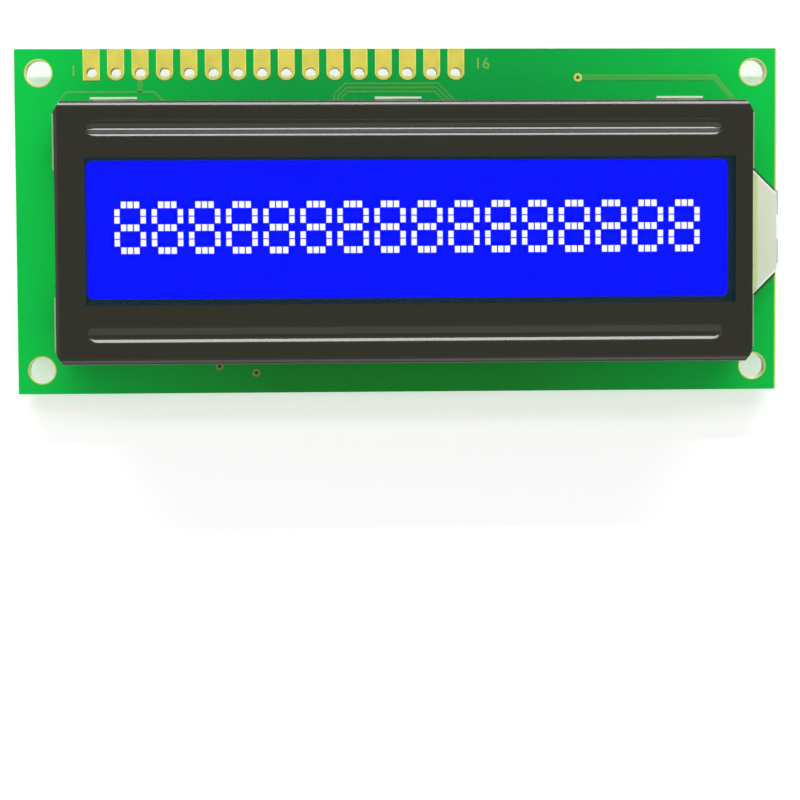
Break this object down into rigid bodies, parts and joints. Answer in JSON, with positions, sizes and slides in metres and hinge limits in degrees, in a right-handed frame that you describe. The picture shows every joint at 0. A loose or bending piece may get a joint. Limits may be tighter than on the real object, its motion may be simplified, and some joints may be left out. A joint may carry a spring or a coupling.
{
  "type": "character lcd module",
  "caption": "Single-line character display on a green printed board: black folded bezel, blue backlit window, connector holes along one edge, epoxy-covered controller behind.",
  "frame": {"origin": "centre of the four mounting holes at the back face of the printed board", "axes": "+Z out of the display face, +Y towards the row of connector holes, +X along the display to the reader's right"},
  "size_m": [0.0802, 0.036, 0.0113],
  "materials": {
    "board": "glass-epoxy board under a semi-gloss green mask",
    "copper_tinned": "gold-coloured flash on copper, satin",
    "copper_bare": "bare copper, satin, slightly dulled",
    "bezel_black": "satin black paint on steel",
    "film": "polarising film, glossy",
    "cell_glass": "clear polished glass",
    "seal": "epoxy seal",
    "elastomer": "pink silicone with a black conducting core",
    "white_sheet": "white diffusing sheet",
    "light_guide": "clear acrylic with a dotted back",
    "white_moulding": "pale moulded plastic",
    "lamp": "white lamp with a yellow filling",
    "tinned_lead": "tinned metal, satin",
    "solder": "bright solder, uneven",
    "silicon": "dark die",
    "epoxy_black": "black epoxy, fine-grained satin",
    "paper": "coated white paper",
    "ceramic": "white ceramic with a black glazed top"
  },
  "bodies": {
    "root": {"circuit_board": "board", "header_pads": "copper_tinned", "bezel_ground_pads": "copper_bare", "chip_pads": "copper_bare", "backlight_pads": "copper_bare", "front_bezel": "bezel_black", "front_polariser": "film", "lcd_front_glass": "cell_glass", "lcd_rear_glass": "cell_glass", "lcd_edge_seal": "seal", "rear_polariser": "film", "zebra_strip_top": "elastomer", "zebra_strip_bottom": "elastomer", "backlight_diffuser": "white_sheet", "backlight_reflector": "white_sheet", "backlight_guide": "light_guide", "lamp_housing": "white_moulding", "lamp_board": "white_moulding", "backlight_lamps": "lamp", "backlight_leads": "tinned_lead", "backlight_solder": "solder", "controller_die": "silicon", "cob_globe_top": "epoxy_black", "rear_label": "paper", "chip_solder": "solder", "resistor_1_body": "ceramic", "resistor_1_end_caps": "tinned_lead", "resistor_2_body": "ceramic", "resistor_2_end_caps": "tinned_lead", "resistor_3_body": "ceramic", "resistor_3_end_caps": "tinned_lead", "resistor_4_body": "ceramic", "resistor_4_end_caps": "tinned_lead", "resistor_5_body": "ceramic", "resistor_5_end_caps": "tinned_lead", "resistor_6_body": "ceramic", "resistor_6_end_caps": "tinned_lead", "resistor_7_body": "ceramic", "resistor_7_end_caps": "tinned_lead", "link_1_body": "ceramic", "link_1_end_caps": "tinned_lead", "link_2_body": "ceramic", "link_2_end_caps": "tinned_lead"}
  },
  "joints": []
}
